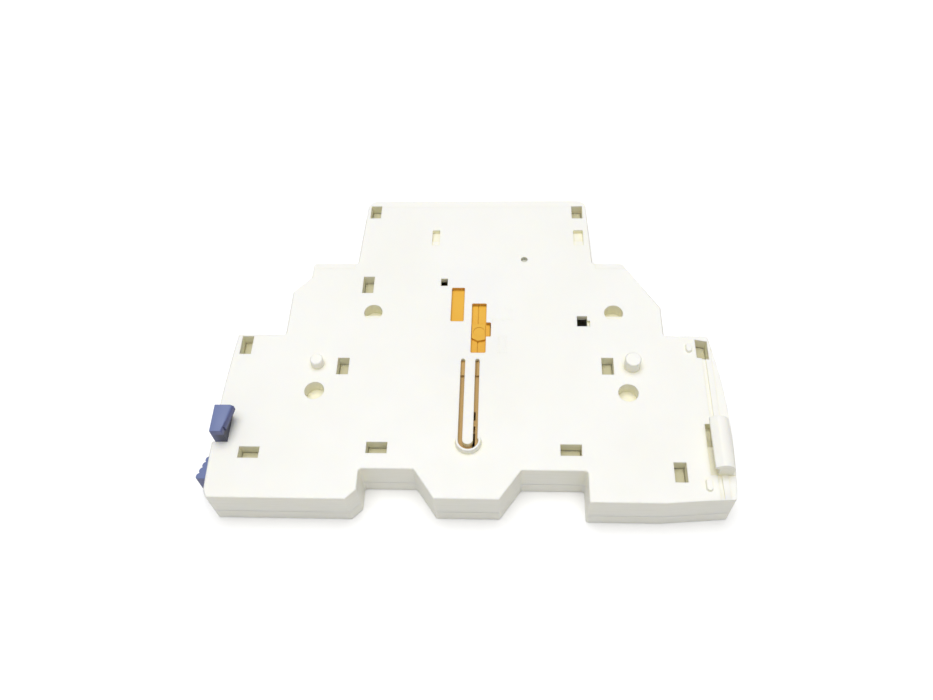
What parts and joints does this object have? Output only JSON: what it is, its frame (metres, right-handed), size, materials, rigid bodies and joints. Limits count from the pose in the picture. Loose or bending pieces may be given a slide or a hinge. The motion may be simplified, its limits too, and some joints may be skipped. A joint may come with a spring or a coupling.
{
  "type": "auxiliary contact block",
  "caption": "Slim changeover auxiliary contact block that clips to the side of a rail-mounted circuit breaker, with coupling slide, latch lever and screw clamp terminals.",
  "frame": {"origin": "on the cover's outer face, on the rail's seat line, midway between the two rail notches", "axes": "+X along the block's long side, from the blue latch to the fixed hook; +Y from the rail to the nose; +Z through the thickness, from the cover to the coupling face"},
  "size_m": [0.0922, 0.067, 0.0128],
  "materials": {
    "cream_plastic": "fine matt moulding",
    "blue_plastic": "satin moulding",
    "amber_plastic": "smooth moulding",
    "plated_steel": "zinc plated",
    "spring_steel": "drawn wire",
    "brass": "rolled strip",
    "silver_contact": "silver alloy"
  },
  "bodies": {
    "housing": {"base_shell": "cream_plastic", "cover_shell": "cream_plastic", "latch_pin": "plated_steel", "latch_spring": "spring_steel", "driver_spring": "spring_steel", "blade_pin": "plated_steel", "closed_rivet": "silver_contact", "open_rivet": "silver_contact", "closed_bar": "brass", "open_bar": "brass", "common_bar": "brass"},
    "latch": {"latch_lever": "blue_plastic"},
    "driver": {"driver_slide": "amber_plastic"},
    "blade": {"changeover_blade": "brass", "moving_rivet": "silver_contact"},
    "left_lower_screw": {"left_lower_screw": "plated_steel"},
    "left_lower_cage": {"left_lower_cage": "plated_steel"},
    "left_upper_screw": {"left_upper_screw": "plated_steel"},
    "left_upper_cage": {"left_upper_cage": "plated_steel"},
    "right_lower_screw": {"right_lower_screw": "plated_steel"},
    "right_lower_cage": {"right_lower_cage": "plated_steel"}
  },
  "joints": [
    {"name": "latch_tilt", "type": "hinge", "parent": "housing", "child": "latch", "pos_m": [-0.04185, 0.0033, 0.0046], "axis": [0, 0, 1], "range_deg": [0, 7], "stiffness_Nm_per_rad": 0.05, "springref_deg": -2.86, "deforming": ["latch_spring"]},
    {"name": "driver_travel", "type": "slide", "parent": "housing", "child": "driver", "axis": [0, 1, 0], "range_m": [0, 0.0036], "stiffness_N_per_m": 200, "springref_m": -0.004, "deforming": ["driver_spring"]},
    {"name": "blade_swing", "type": "hinge", "parent": "housing", "child": "blade", "pos_m": [0.0145, 0.012, 0.0044], "axis": [0, 0, 1], "range_deg": [-6, 0]},
    {"name": "left_lower_screw_turn", "type": "hinge", "parent": "housing", "child": "left_lower_screw", "pos_m": [-0.0379, 0.0244, 0.0044], "axis": [0, -1, 0], "range_deg": [0, 2592]},
    {"name": "left_lower_cage_lift", "type": "slide", "parent": "housing", "child": "left_lower_cage", "axis": [0, 1, 0], "range_m": [0, 0.0036]},
    {"name": "left_upper_screw_turn", "type": "hinge", "parent": "housing", "child": "left_upper_screw", "pos_m": [-0.0276, 0.0415, 0.0044], "axis": [0, -1, 0], "range_deg": [0, 2592]},
    {"name": "left_upper_cage_lift", "type": "slide", "parent": "housing", "child": "left_upper_cage", "axis": [0, 1, 0], "range_m": [0, 0.0036]},
    {"name": "right_lower_screw_turn", "type": "hinge", "parent": "housing", "child": "right_lower_screw", "pos_m": [0.0378, 0.0244, 0.0044], "axis": [0, -1, 0], "range_deg": [0, 2592]},
    {"name": "right_lower_cage_lift", "type": "slide", "parent": "housing", "child": "right_lower_cage", "axis": [0, 1, 0], "range_m": [0, 0.0036]}
  ],
  "couplings": [
    {"joint": "blade_swing", "follows": "driver_travel", "rad_per_m": -29.08},
    {"joint": "left_lower_screw_turn", "follows": "left_lower_cage_lift", "rad_per_m": 12566},
    {"joint": "left_upper_screw_turn", "follows": "left_upper_cage_lift", "rad_per_m": 12566},
    {"joint": "right_lower_screw_turn", "follows": "right_lower_cage_lift", "rad_per_m": 12566}
  ]
}
